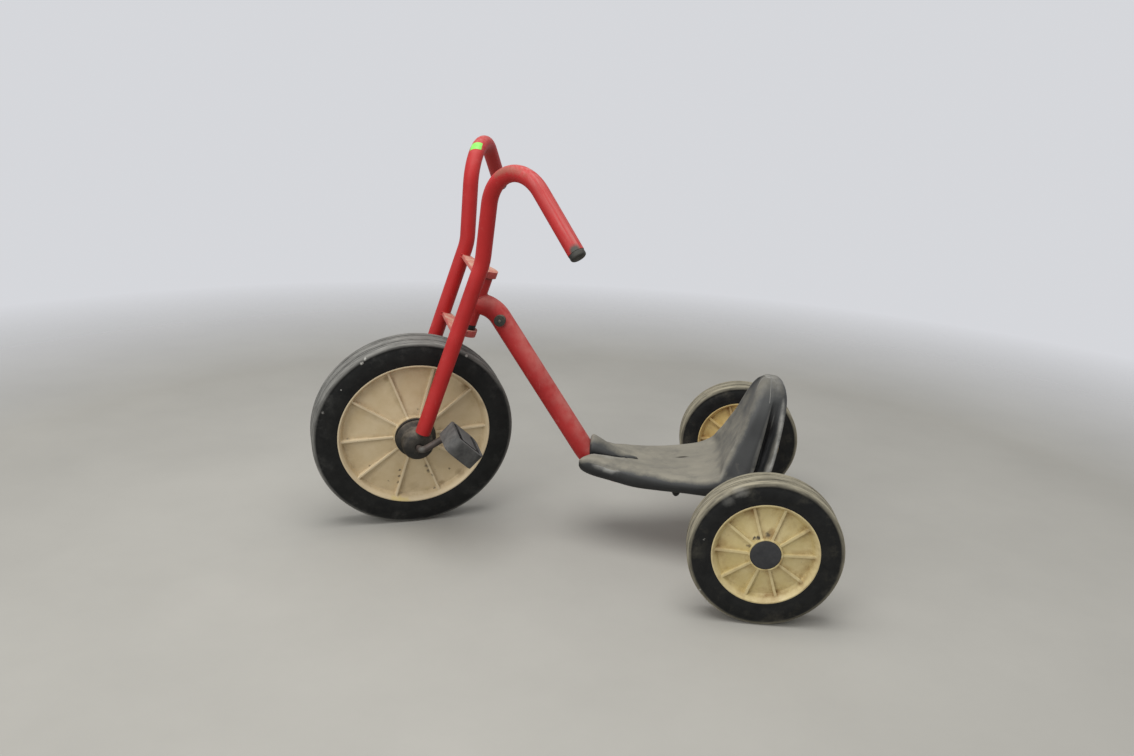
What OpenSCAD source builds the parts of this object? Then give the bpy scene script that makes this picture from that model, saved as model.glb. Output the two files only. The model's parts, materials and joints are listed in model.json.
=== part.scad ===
// Heavy-duty nursery tricycle with a two-tube fork, ribbed disc wheels and a moulded seat.
// +X is forward, +Y is the rider's left, +Z is up; the origin is on the ground at the middle.

/* [Wheels] */
// Outer radius of the two rear tyres
rear_wheel_r = 120; // [100:1:140]
// Width of a rear tyre
rear_tyre_w = 50; // [40:1:60]
// Radius of the rear rim, where the tyre sits
rear_rim_r = 83; // [72:1:95]
// Distance between the middle planes of the rear wheels
track = 514; // [440:1:580]
// Outer radius of the front tyre
front_wheel_r = 182; // [160:1:200]
// Width of the front tyre
front_tyre_w = 55; // [44:1:64]
// Radius of the front rim, where the tyre sits
front_rim_r = 138; // [122:1:152]
// Radius of a tyre's rounded shoulder
shoulder_r = 8; // [4:0.5:12]
// Depth of the grooves round the treads
groove_depth = 2.5; // [1:0.5:5]
// Width of a tread groove
groove_w = 4; // [2:0.5:7]
// Ribs on each face of a wheel disc
rib_count = 10; // [6:1:16]
// Thickness of a disc rib
rib_t = 4; // [2:0.5:7]
// Turn of the front wheel's ribs as it stands
front_rib_turn = 15.5; // [0:0.5:36]

/* [Axles] */
// Diameter of the rear axle rod
rear_axle_d = 16; // [12:1:20]
// Outer diameter of the tube that carries the rear axle
axle_tube_d = 28; // [24:1:34]
// Diameter of the bent crank rod
crank_rod_d = 12; // [10:1:15]
// Distance from the front axle to a pedal spindle
crank_r = 70.5; // [56:0.5:80]
// Direction of the left crank, from the fork's forward direction
crank_angle = 132; // [0:0.5:359]
// Bend radius of the crank rod
crank_bend_r = 15; // [12:1:20]

/* [Steering] */
// Wheelbase with the wheel straight ahead
wheelbase = 622; // [560:1:680]
// Lean of the steering axis from upright
head_angle = 18; // [12:0.5:24]
// Distance of the front axle ahead of the steering axis
rake = 29.5; // [22:0.5:38]
// How far the steering is turned to the left as it stands
steer_rest = 24; // [0:1:40]
// Outer diameter of the head tube
head_tube_d = 34; // [30:1:40]
// Diameter of the steering pin
pin_d = 14; // [10:1:18]
// Height of the lower fork plate above the axle, along the steering axis
lower_plate_h = 205; // [198:1:215]
// Height of the upper fork plate above the axle, along the steering axis
upper_plate_h = 318; // [305:1:325]
// Thickness of the fork plates at the steering pin
plate_t = 12; // [8:0.5:14]
// Thickness of the fork plates between the legs
plate_web_t = 6; // [3:0.5:8]

/* [Fork] */
// Outer diameter of the fork tubes
fork_tube_d = 27; // [22:0.5:32]
// Wall thickness of all tubes
tube_wall = 2; // [1.5:0.5:3.5]
// Distance between the fork legs
fork_spread = 129; // [116:1:150]
// Length of a fork leg from the axle to its bend
leg_len = 352; // [340:1:380]
// Angle of the bend above the upper plate
neck_bend = 15.5; // [8:0.5:25]
// Direction of that bend, from forward towards the outside
neck_roll = 22.5; // [0:0.5:45]
// Straight length between that bend and the hook
neck_len = 87; // [60:1:120]
// Angle of the hook at the top
hook_bend = 126; // [100:1:150]
// Direction of the hook about the tube
hook_roll = 97; // [70:1:130]
// Bend radius of the hook
hook_r = 70; // [55:1:90]
// Straight length of a handle
grip_len = 112; // [90:1:150]

/* [Frame] */
// Outer diameter of the main tube
main_tube_d = 38; // [32:1:44]
// Height of the main tube on the head tube, above the axle along the steering axis
main_joint_h = 267; // [258:1:276]
// Distance behind the steering axis at which the main tube turns down
main_turn_x = 39; // [37:0.5:46]
// Distance ahead of the rear axle at which it turns level
level_turn_x = 274; // [250:1:290]
// Height of its level part above the rear axle
level_h = 4; // [0:0.5:6]
// Bend radius of the main tube behind the head
main_turn_r = 52; // [45:1:56]
// Bend radius of the main tube where it turns level
main_bend_r = 105; // [80:1:110]

/* [Seat] */
// Distance of the seat's nose ahead of the rear axle
seat_nose_x = 309; // [300:1:330]
// Width of the seat at its widest
seat_w = 236; // [200:1:270]
// Height of the pan's underside above the axle
seat_base_h = 3; // [1:0.5:8]
// Height of the pan's rim above the axle at its lowest
pan_top_h = 36; // [30:1:42]
// Height of the backrest's top above the axle
back_top_h = 212; // [180:1:240]
// Radius of the rounded rim all round the seat
seat_edge_r = 13; // [8:1:15]
// Depth of the hollow in the pan and the backrest
seat_dish = 5; // [0:0.5:10]

/* [Pedals] */
// Length of a pedal along its spindle
pedal_len = 74; // [60:1:90]
// Width of a pedal's tread
pedal_w = 63; // [50:1:76]
// Thickness of a pedal
pedal_t = 30; // [22:1:34]
// Tilt of the pedal treads from the fork's forward direction
pedal_tilt = 26; // [-90:1:90]
// Radius of a pedal's corners
pedal_corner_r = 15; // [6:1:20]
// Width of the two slots in a pedal
pedal_slot_w = 9; // [5:0.5:12]
// Depth of the groove that joins the slots at a pedal's outer end
pedal_groove = 5; // [2:0.5:7]

/* [Hidden] */
$fn = 72;
// Gap between faces that are welded or pressed together
weld_gap = 0.05;
// Radial clearance of a running fit
run_gap = 0.05;
// Gap between faces that slide past each other
face_gap = 0.3;
// Overlap by which a cutting shape passes a face
over = 1;
// Thinning of a tube's wall in a bend, on each side, and lap of the straights into the bend
bend_thin = 0.05;
bend_lap = 0.5;

// Wheels
rear_rim_half = rear_tyre_w / 2 - 2;
front_rim_half = front_tyre_w / 2 - 2.5;
rear_hub_r = 26;
hub_flange_r = 37;
front_hub_r = hub_flange_r + 1.5;
cap_r = 24;
cap_t = 5;
rim_wall = 7;
// Half thickness of a disc's web at the rim and at the hub, as shares of the rim's half width
web_rim_share = 0.4;
web_hub_share = 0.78;
// How far a rib stands above the web at the hub, and ends below the rim's lip
rib_hub_rise = 2.5;
rib_rim_drop = 6.5;

// Steering geometry: the axle lies rake ahead of the axis, level with the axis point at foot
axle_lean = sin(head_angle) * sin(steer_rest);
tread_ring_r = front_wheel_r - shoulder_r;
tread_half = front_tyre_w / 2 - shoulder_r;
front_axle_z = tread_ring_r * sqrt(1 - axle_lean * axle_lean) + tread_half * abs(axle_lean) + shoulder_r;
foot_x = wheelbase - rake * cos(head_angle);
foot_z = front_axle_z - rake * sin(head_angle) * cos(steer_rest);
axle_sweep = cos(head_angle) * sin(steer_rest);
front_axle_x = foot_x + rake * cos(head_angle) * cos(steer_rest);
front_reach = front_axle_x + tread_ring_r * sqrt(1 - axle_sweep * axle_sweep)
    + tread_half * abs(axle_sweep) + shoulder_r;
origin_x = (front_reach - rear_wheel_r) / 2;

// Bearings at the front axle
hub_flange_t = 5;
housing_in = front_tyre_w / 2 + hub_flange_t + 2;
leg_clear = 5.5;
crank_plane = (fork_spread + fork_tube_d + crank_rod_d) / 2 + leg_clear;
housing_out = crank_plane - crank_bend_r - 0.5;
housing_r = 28;
leg_foot = 26;
spindle_in = crank_plane + crank_bend_r;

// Head bearing
lower_bush_t = 9;
upper_bush_t = 4;
head_low = lower_plate_h + plate_t + face_gap + lower_bush_t;
head_high = upper_plate_h - face_gap - upper_bush_t;
head_bore_r = head_tube_d / 2 - 3;
bush_depth = 18;
tongue_r = 22;

// Main tube, in the upright plane of the frame
turn_x = foot_x - main_joint_h * sin(head_angle) - main_turn_x * cos(head_angle);
turn_z = foot_z + main_joint_h * cos(head_angle) - main_turn_x * sin(head_angle);
level_z = rear_wheel_r + level_h;
main_slope = atan2(turn_z - level_z, turn_x - level_turn_x);
turn_bend = main_slope - head_angle;
turn_trim = main_turn_r * tan(turn_bend / 2);
level_trim = main_bend_r * tan(main_slope / 2);
slope_len = norm([turn_x - level_turn_x, turn_z - level_z]);

// Each row of a bent tube: straight length, roll of the bend, bend radius, bend angle
RUN = 0;
ROLL = 1;
BEND_R = 2;
BEND_A = 3;
neck_bend_r = 100;
neck_trim = neck_bend_r * tan(neck_bend / 2);
fork_runs = [
    [leg_len - leg_foot - neck_trim, neck_roll, neck_bend_r, neck_bend],
    [neck_len, hook_roll, hook_r, hook_bend],
    [grip_len, 0, 0, 0]
];
main_runs = [
    [main_turn_x - turn_trim, 180, main_turn_r, turn_bend],
    [slope_len - turn_trim - level_trim, 180, main_bend_r, main_slope],
    [level_turn_x - level_trim, 0, 0, 0]
];
pedal_wall = 7;
crank_runs = [
    [crank_plane - crank_bend_r, 0, crank_bend_r, 90],
    [crank_r - 2 * crank_bend_r, 180, crank_bend_r, 90],
    [pedal_len - pedal_wall, 0, 0, 0]
];

// Places
module on_frame() { translate([-origin_x, 0, 0]) children(); }
module on_head() { on_frame() translate([foot_x, 0, foot_z]) rotate([0, -head_angle, 0]) children(); }
module on_fork() { on_head() rotate([0, 0, steer_rest]) children(); }
module on_front_axle() { on_fork() translate([rake, 0, 0]) children(); }
module on_rear_axle() { on_frame() translate([0, 0, rear_wheel_r]) children(); }
module sided(side) { if (side > 0) children(); else mirror([0, 1, 0]) children(); }
module along_y() { rotate([-90, 0, 0]) children(); }

// Bent tubes and rods: each piece starts at the origin and heads along +Z; a rod has no bore
module ring(r, bore) {
    difference() {
        circle(r = r);
        if (bore > 0)
            circle(r = bore);
    }
}
module after_bend(bend_r, angle) {
    translate([bend_r * (1 - cos(angle)), 0, bend_r * sin(angle)]) rotate([0, angle, 0]) children();
}
// A bend draws the wall thinner by a hair on both sides, and the straights lap into it
module bend_piece(bend_r, angle, r, bore) {
    if (angle > 0)
        translate([bend_r, 0, 0]) rotate([90, 0, 180]) rotate_extrude(angle = angle)
            translate([bend_r, 0]) ring(r - bend_thin, bore > 0 ? bore + bend_thin : 0);
}
module tube_run(runs, r, bore = 0, i = 0) {
    if (i < len(runs)) {
        lap_start = i > 0 ? bend_lap : 0;
        lap_end = i < len(runs) - 1 ? bend_lap : 0;
        translate([0, 0, -lap_start])
            linear_extrude(height = runs[i][RUN] + lap_start + lap_end) ring(r, bore);
        translate([0, 0, runs[i][RUN]]) rotate([0, 0, runs[i][ROLL]]) {
            bend_piece(runs[i][BEND_R], runs[i][BEND_A], r, bore);
            after_bend(runs[i][BEND_R], runs[i][BEND_A]) tube_run(runs, r, bore, i + 1);
        }
    }
}
module at_run_end(runs, i = 0) {
    if (i == len(runs))
        children();
    else
        translate([0, 0, runs[i][RUN]]) rotate([0, 0, runs[i][ROLL]])
            after_bend(runs[i][BEND_R], runs[i][BEND_A]) at_run_end(runs, i + 1) children();
}

// Wheels, turning about Y through the origin
function arc_points(cx, cy, r, from, to, steps) =
    [for (k = [0 : steps]) let (a = from + (to - from) * k / steps) [cx + r * cos(a), cy + r * sin(a)]];
function groove_points(r, y) = [
    [r, y - groove_w / 2],
    [r - groove_depth, y - groove_w / 2 + 0.5],
    [r - groove_depth, y + groove_w / 2 - 0.5],
    [r, y + groove_w / 2]
];
module tyre(outer_r, w, rim_r, rim_half) {
    ring_r = outer_r - shoulder_r;
    ring_y = w / 2 - shoulder_r;
    bead_r = rim_r + weld_gap;
    flank_r = rim_r + 12;
    profile = concat(
        [[bead_r, -rim_half], [flank_r, -w / 2]],
        arc_points(ring_r, -ring_y, shoulder_r, -90, 0, 5),
        groove_points(outer_r, -w / 5),
        groove_points(outer_r, w / 5),
        arc_points(ring_r, ring_y, shoulder_r, 0, 90, 5),
        [[flank_r, w / 2], [bead_r, rim_half]]
    );
    along_y() rotate_extrude() polygon(profile);
}
module wheel_disc(rim_r, rim_half, hub_r, hub_half, bore_r) {
    rim_in = rim_r - rim_wall;
    web_rim = rim_half * web_rim_share;
    web_hub = rim_half * web_hub_share;
    half_profile = [
        [hub_r, hub_half],
        [hub_r + 0.5, web_hub],
        [rim_in - 4, web_rim],
        [rim_in, rim_half - 3],
        [rim_in + 2, rim_half],
        [rim_r, rim_half]
    ];
    profile = concat(
        [[bore_r, -hub_half], [bore_r, hub_half]],
        half_profile,
        [for (i = [len(half_profile) - 1 : -1 : 0]) [half_profile[i][0], -half_profile[i][1]]]
    );
    rib_profile = [
        [hub_r - 1, web_hub + rib_hub_rise],
        [rim_in + 1, rim_half - rib_rim_drop],
        [rim_in + 1, rib_rim_drop - rim_half],
        [hub_r - 1, -web_hub - rib_hub_rise]
    ];
    along_y() {
        rotate_extrude() polygon(profile);
        for (i = [0 : rib_count - 1])
            rotate([0, 0, i * 360 / rib_count]) rotate([90, 0, 0])
                linear_extrude(height = rib_t, center = true) polygon(rib_profile);
    }
}

module main_tube_shape(r, bore) {
    on_head() translate([0, 0, main_joint_h]) rotate([0, -90, 0]) tube_run(main_runs, r, bore);
}
module main_tube() {
    color("firebrick") difference() {
        main_tube_shape(main_tube_d / 2, main_tube_d / 2 - tube_wall);
        on_head() translate([0, 0, main_joint_h - main_tube_d])
            cylinder(h = 2 * main_tube_d, r = head_tube_d / 2 + weld_gap);
        on_rear_axle() along_y()
            cylinder(h = 2 * main_tube_d, r = axle_tube_d / 2 + weld_gap, center = true);
    }
}
module head_tube() {
    color("firebrick") on_head() translate([0, 0, head_low]) difference() {
        cylinder(h = head_high - head_low, r = head_tube_d / 2);
        translate([0, 0, -over]) cylinder(h = head_high - head_low + 2 * over, r = head_bore_r);
    }
}
// A flanged bush with its flange below z = 0 and its sleeve above
module head_bush(flange_t) {
    color("dimgray") difference() {
        union() {
            translate([0, 0, -flange_t]) cylinder(h = flange_t, r = head_tube_d / 2);
            cylinder(h = bush_depth, r = head_bore_r - weld_gap);
        }
        translate([0, 0, -flange_t - over])
            cylinder(h = flange_t + bush_depth + 2 * over, r = pin_d / 2 + run_gap);
    }
}
module head_bush_upper() {
    on_head() translate([0, 0, head_high]) mirror([0, 0, 1]) head_bush(upper_bush_t);
}
module head_bush_lower() {
    on_head() translate([0, 0, head_low]) head_bush(lower_bush_t);
}

// Rear axle
wheel_gap = 3;
axle_tube_half = track / 2 - rear_rim_half - wheel_gap;
axle_half = track / 2 + rear_rim_half - cap_t - face_gap;
module rear_axle_tube() {
    color("firebrick") on_rear_axle() along_y() difference() {
        cylinder(h = 2 * axle_tube_half, r = axle_tube_d / 2, center = true);
        cylinder(h = 2 * axle_tube_half + 2 * over, r = rear_axle_d / 2 + weld_gap, center = true);
    }
}
module rear_axle() {
    color("silver") on_rear_axle() along_y() cylinder(h = 2 * axle_half, r = rear_axle_d / 2, center = true);
}

// Rubber pucks on the main tube's flanks that stop the fork legs
buffer_r = 10;
buffer_t = 7;
buffer_drop = 11.2;
buffer_step = 16.6;
buffer_back = main_turn_x + buffer_step;
module steering_buffers() {
    color("darkslategray") difference() {
        on_head() translate([-buffer_back, 0, main_joint_h - buffer_drop]) along_y()
            cylinder(h = main_tube_d + 2 * buffer_t, r = buffer_r, center = true);
        main_tube_shape(main_tube_d / 2 + weld_gap, 0);
    }
}

// Seat: rings from the nose along the pan and up the backrest
// Pan rows: share of the way to the nose, rim rise, underside rise, half-width share, valley depth
heel_x = 66;
pan_rows = [
    [1.00, 3, 24, 0.36, 8],
    [0.97, 12, 17, 0.44, 22],
    [0.89, 19, 12, 0.50, 26],
    [0.75, 14, 7, 0.55, 14],
    [0.59, 4, 2, 0.62, 3],
    [0.41, 1, 4, 0.72, 0],
    [0.22, 3, 8, 0.83, 0],
    [0.09, 7, 10, 0.92, 0],
    [0.00, 17, 13, 0.97, 0]
];
// Back rows: front x, share of the climb, rear x, rear drop, front and rear half widths, groove depth
back_rows = [
    [58, 0.19, 15, 52, 101, 110, 0],
    [50, 0.28, -14, 55, 90, 102, 22],
    [40.5, 0.40, -27, 41, 79, 90, 34],
    [30.5, 0.52, -36, 25, 70, 74, 28],
    [20, 0.68, -43, 13, 60, 58, 13],
    [11, 0.83, -46, 7, 43, 40, 0],
    [3, 0.93, -41, 3, 26, 25, 0],
    [-7, 0.98, -31, 1, 13, 12, 0]
];
// Seat width for which the half widths above stand
back_w = 236;
// How far the underside runs back under the heel, over the last share of the pan
heel_lean = 16;
heel_share = 0.2;
// Station: front x, front z, rear x, rear z, front half width, rear half width, valley, groove
seat_stations = concat(
    [for (p = pan_rows)
        let (
            x = heel_x + p[0] * (seat_nose_x - heel_x),
            lean = max(0, heel_lean * (1 - p[0] / heel_share))
        )
        [x, pan_top_h + p[1], x - lean, seat_base_h + p[2],
            p[3] * seat_w / 2, p[3] * seat_w / 2, p[4], 0]],
    [for (b = back_rows)
        let (z = pan_top_h + b[1] * (back_top_h - pan_top_h), widen = seat_w / back_w)
        [b[0], z, b[2], z - b[3], b[4] * widen, b[5] * widen, 0, b[6]]]
);
// Gap between the seat and the main tube
seat_gap = 0.3;
// Smooth curve through the rows, with four rings from each to the next
function spline(a, b, c, d, t) =
    b + 0.5 * t * (c - a + t * (2 * a - 5 * b + 4 * c - d + t * (3 * (b - c) + d - a)));
rings_per_row = 4;
seat_last = len(seat_stations) - 1;
seat_rings = concat(
    [for (i = [0 : seat_last - 1], k = [0 : rings_per_row - 1])
        spline(seat_stations[max(i - 1, 0)], seat_stations[i], seat_stations[i + 1],
            seat_stations[min(i + 2, seat_last)], k / rings_per_row)],
    [seat_stations[seat_last]]
);
// Places across a face: the first stand on both sides of the channel's wall, the rest step out to the rim
channel_half = main_tube_d / 2 + seat_gap;
near_places = [0, channel_half * 0.42, channel_half * 0.82, channel_half * 1.25];
near_last = len(near_places) - 1;
top_steps = 7;
function across(flat, j) =
    let (fit = min(1, 0.8 * flat / near_places[near_last]), last = fit * near_places[near_last])
    j <= near_last ? fit * near_places[j] : last + (flat - last) * (j - near_last) / (top_steps - near_last);
// Half of a ring, from the middle of the front face round the rim to the middle of the rear face
edge_steps = 4;
side_steps = 10;
valley_half = 27;
// Place and spread of the groove across the flanks, as shares of the seat's depth there
groove_at = 0.6;
groove_spread = 0.07;
function ring_half(st) =
    let (
        depth = norm([st[2] - st[0], st[3] - st[1]]),
        edge = min(seat_edge_r, depth * 0.45, st[4] * 0.6),
        dish = min(seat_dish, depth * 0.15),
        flat_f = st[4] - edge,
        flat_r = st[5] - edge
    )
    concat(
        [for (j = [0 : top_steps]) let (y = across(flat_f, j))
            [y, dish * (1 - pow(y / flat_f, 2)) + st[6] * exp(-pow(y / valley_half, 2))]],
        [for (j = [1 : edge_steps]) let (a = -90 + 90 * j / edge_steps)
            [flat_f + edge * cos(a), edge + edge * sin(a)]],
        [for (j = [1 : side_steps - 1]) let (t = j / side_steps)
            [st[4] + (st[5] - st[4]) * t - st[7] * exp(-pow((t - groove_at) / groove_spread, 2)),
                edge + (depth - 2 * edge) * t]],
        [for (j = [0 : edge_steps]) let (a = 90 * j / edge_steps)
            [flat_r + edge * cos(a), depth - edge + edge * sin(a)]],
        [for (j = [top_steps - 1 : -1 : 0]) [across(flat_r, j), depth]]
    );
function seat_ring(st) =
    let (
        half = ring_half(st),
        n = len(half),
        depth = norm([st[2] - st[0], st[3] - st[1]]),
        dir = [(st[2] - st[0]) / depth, (st[3] - st[1]) / depth],
        all = concat(half, [for (j = [n - 2 : -1 : 1]) [-half[j][0], half[j][1]]])
    )
    [for (q = all) [st[0] + dir[0] * q[1], q[0], st[1] + dir[1] * q[1]]];
// An end of the seat: strips from its front face to its rear face, and one piece at each rim
function end_faces(n) =
    let (rear = n / 2)
    concat(
        [for (j = [0 : top_steps - 1]) [j, j + 1, rear - j - 1, rear - j]],
        [for (j = [0 : top_steps - 1]) [rear + j, rear + j + 1, n - j - 1, (n - j) % n]],
        [[for (j = [top_steps : rear - top_steps]) j]],
        [[for (j = [rear + top_steps : n - top_steps]) j]]
    );
module seat_body() {
    rings = [for (st = seat_rings) seat_ring(st)];
    n = len(rings[0]);
    m = len(rings);
    faces = concat(
        [for (i = [0 : m - 2], j = [0 : n - 1]) let (k = (j + 1) % n)
            [i * n + j, i * n + k, (i + 1) * n + k, (i + 1) * n + j]],
        [for (face = end_faces(n)) [for (k = [len(face) - 1 : -1 : 0]) face[k]]],
        [for (face = end_faces(n)) [for (j = face) (m - 1) * n + j]]
    );
    polyhedron(points = [for (ring = rings, q = ring) q], faces = faces);
}
// The channel for the main tube, open below and between the nose's two horns
module seat_channel() {
    r = channel_half;
    bend_x = level_turn_x - level_trim;
    far = 400;
    profile = concat(
        [[-far, -far], [-far, r]],
        arc_points(bend_x, main_bend_r, main_bend_r - r, -90, -90 + main_slope, 8),
        [[bend_x + (main_bend_r - r) * sin(main_slope) + far * cos(main_slope),
            main_bend_r - (main_bend_r - r) * cos(main_slope) + far * sin(main_slope)]],
        [[2 * far, far], [2 * far, -far]]
    );
    translate([0, 0, level_h]) rotate([90, 0, 0])
        linear_extrude(height = 2 * r, center = true) polygon(profile);
}
module seat() {
    color("gray") on_rear_axle() difference() {
        seat_body();
        seat_channel();
    }
}
// Lugs welded to the main tube's flanks, under the pan
lug_x = 133;
lug_len = 30;
lug_t = 5;
lug_reach = 64;
lug_rise = 5.2;
module seat_lug(side) {
    color("firebrick") on_rear_axle() sided(side) difference() {
        translate([lug_x - lug_len / 2, 0, seat_base_h + lug_rise - face_gap - lug_t])
            cube([lug_len, lug_reach, lug_t]);
        translate([0, 0, level_h]) rotate([0, 90, 0]) cylinder(h = 2 * lug_x, r = main_tube_d / 2 + weld_gap);
    }
}
module seat_lug_left() { seat_lug(1); }
module seat_lug_right() { seat_lug(-1); }

module fork_tube(side) {
    color("firebrick") on_front_axle() sided(side) difference() {
        translate([0, fork_spread / 2, leg_foot])
            tube_run(fork_runs, fork_tube_d / 2, fork_tube_d / 2 - tube_wall);
        housing_shape(weld_gap);
    }
}
module fork_tube_left() { fork_tube(1); }
module fork_tube_right() { fork_tube(-1); }

// Bearing housing as a solid of revolution about the axle, grown by a gap
module housing_shape(grow) {
    along_y() rotate_extrude() polygon([
        [0, housing_in - grow],
        [hub_flange_r - 1 + grow, housing_in - grow],
        [hub_flange_r - 1 + grow, housing_in + 5 + grow],
        [housing_r + grow, housing_in + 10 + grow],
        [housing_r + grow, housing_out - 10 + grow],
        [housing_r - 3.5 + grow, housing_out - 4 + grow],
        [housing_r - 10 + grow, housing_out - 1 + grow],
        [crank_rod_d / 2 + 4 + grow, housing_out + grow],
        [0, housing_out + grow]
    ]);
}
module bearing_housing(side) {
    color("darkslategray") on_front_axle() sided(side) difference() {
        housing_shape(0);
        along_y() cylinder(h = housing_out + over, r = crank_rod_d / 2 + run_gap);
    }
}
module bearing_housing_left() { bearing_housing(1); }
module bearing_housing_right() { bearing_housing(-1); }

module fork_plate(h) {
    half = fork_spread / 2;
    front = rake + 4;
    back = rake - 11;
    neck = tongue_r - 2;
    color("firebrick") on_fork() translate([0, 0, h]) difference() {
        union() {
            translate([0, 0, plate_t - plate_web_t]) linear_extrude(height = plate_web_t) polygon([
                [front, half], [front, -half], [back, -half], [0, -neck], [0, neck], [back, half]
            ]);
            cylinder(h = plate_t, r = tongue_r);
        }
        translate([0, 0, -over]) cylinder(h = plate_t + 2 * over, r = pin_d / 2 + weld_gap);
        for (side = [-1, 1])
            translate([rake, side * half, -over])
                cylinder(h = plate_t + 2 * over, r = fork_tube_d / 2 + weld_gap);
    }
}
module upper_plate() { fork_plate(upper_plate_h); }
module lower_plate() { fork_plate(lower_plate_h); }
module steering_pin() {
    color("silver") on_fork() translate([0, 0, lower_plate_h])
        cylinder(h = upper_plate_h + plate_t - lower_plate_h, r = pin_d / 2);
}

// A plug in a handle's end: its head stands a little inside the tube's outside
plug_head = 10;
plug_depth = 22;
plug_round = 4;
plug_r = fork_tube_d / 2 - 0.5;
module grip_plug(side) {
    color("dimgray") on_front_axle() sided(side) translate([0, fork_spread / 2, leg_foot])
        at_run_end(fork_runs) {
            rotate_extrude() polygon(concat(
                [[0, 0], [plug_r, 0]],
                arc_points(plug_r - plug_round, plug_head - plug_round, plug_round, 0, 90, 4),
                [[0, plug_head]]
            ));
            translate([0, 0, -plug_depth])
                cylinder(h = plug_depth, r = fork_tube_d / 2 - tube_wall - weld_gap);
        }
}
module grip_plug_left() { grip_plug(1); }
module grip_plug_right() { grip_plug(-1); }

module front_tyre() {
    color("darkslategray") on_front_axle() tyre(front_wheel_r, front_tyre_w, front_rim_r, front_rim_half);
}
module front_disc() {
    color("wheat") on_front_axle() rotate([0, -front_rib_turn, 0])
        wheel_disc(front_rim_r, front_rim_half, front_hub_r, front_tyre_w / 2, crank_rod_d / 2 + weld_gap);
}
module front_hub() {
    color("darkslategray") on_front_axle() for (side = [-1, 1])
        sided(side) along_y() translate([0, 0, front_tyre_w / 2]) difference() {
            cylinder(h = hub_flange_t, r = hub_flange_r);
            translate([0, 0, -over]) cylinder(h = hub_flange_t + 2 * over, r = crank_rod_d / 2 + weld_gap);
        }
}
// The half of the crank rod on one side, heading along +Y from the middle of the wheel
module crank_half(side) {
    sided(side) rotate([0, -crank_angle - (side > 0 ? 0 : 180), 0]) along_y()
        tube_run(crank_runs, crank_rod_d / 2);
}
module crank_axle() {
    color("dimgray") on_front_axle() for (side = [-1, 1]) crank_half(side);
}
// Plan of a pedal: a slab with round corners and a slot on each side of the spindle
function rounded_box(w, l, r) = concat(
    arc_points(w / 2 - r, l / 2 - r, r, 0, 90, 8),
    arc_points(r - w / 2, l / 2 - r, r, 90, 180, 8),
    arc_points(r - w / 2, r - l / 2, r, 180, 270, 8),
    arc_points(w / 2 - r, r - l / 2, r, 270, 360, 8)
);
module pedal(side) {
    turn = crank_angle + (side > 0 ? 0 : 180);
    slot_len = pedal_len - 2 * pedal_wall;
    slot_x = pedal_w / 2 - pedal_wall - pedal_slot_w / 2;
    color("dimgray") on_front_axle() sided(side) rotate([0, -turn, 0])
        translate([crank_r, spindle_in + face_gap, 0]) rotate([0, turn - pedal_tilt, 0]) difference() {
            translate([0, pedal_len / 2, -pedal_t / 2]) linear_extrude(height = pedal_t)
                polygon(rounded_box(pedal_w, pedal_len, pedal_corner_r));
            for (x = [-slot_x, slot_x])
                translate([x, pedal_len / 2, -pedal_t / 2 - over]) linear_extrude(height = pedal_t + 2 * over)
                    polygon(rounded_box(pedal_slot_w, slot_len, pedal_slot_w / 2 - 0.1));
            for (z = [-pedal_t / 2, pedal_t / 2])
                translate([0, pedal_len - pedal_wall - pedal_groove / 2, z])
                    cube([2 * slot_x, pedal_groove, 2 * pedal_groove], center = true);
            along_y() translate([0, 0, -over])
                cylinder(h = pedal_len - pedal_wall + 2 * over, r = crank_rod_d / 2 + run_gap);
        }
}
module pedal_left() { pedal(1); }
module pedal_right() { pedal(-1); }

module on_rear_wheel(side) { on_rear_axle() sided(side) translate([0, track / 2, 0]) children(); }
module rear_tyre(side) {
    color("darkslategray") on_rear_wheel(side) tyre(rear_wheel_r, rear_tyre_w, rear_rim_r, rear_rim_half);
}
module rear_disc(side) {
    color("wheat") on_rear_wheel(side) difference() {
        wheel_disc(rear_rim_r, rear_rim_half, rear_hub_r, rear_rim_half, rear_axle_d / 2 + run_gap);
        along_y() translate([0, 0, rear_rim_half - cap_t]) cylinder(h = cap_t + over, r = cap_r + weld_gap);
    }
}
module hub_cap(side) {
    color("darkslategray") on_rear_wheel(side) along_y()
        translate([0, 0, rear_rim_half - cap_t]) cylinder(h = cap_t, r = cap_r);
}
module rear_tyre_left() { rear_tyre(1); }
module rear_tyre_right() { rear_tyre(-1); }
module rear_disc_left() { rear_disc(1); }
module rear_disc_right() { rear_disc(-1); }
module hub_cap_left() { hub_cap(1); }
module hub_cap_right() { hub_cap(-1); }

main_tube();
head_tube();
head_bush_upper();
head_bush_lower();
rear_axle_tube();
rear_axle();
seat();
seat_lug_left();
seat_lug_right();
steering_buffers();
fork_tube_left();
fork_tube_right();
upper_plate();
lower_plate();
steering_pin();
bearing_housing_left();
bearing_housing_right();
grip_plug_left();
grip_plug_right();
front_tyre();
front_disc();
front_hub();
crank_axle();
pedal_left();
pedal_right();
rear_tyre_left();
rear_disc_left();
hub_cap_left();
rear_tyre_right();
rear_disc_right();
hub_cap_right();
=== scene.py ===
import json
import math

import bmesh
import bpy
from mathutils import Matrix, Vector
from mathutils.bvhtree import BVHTree


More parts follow.
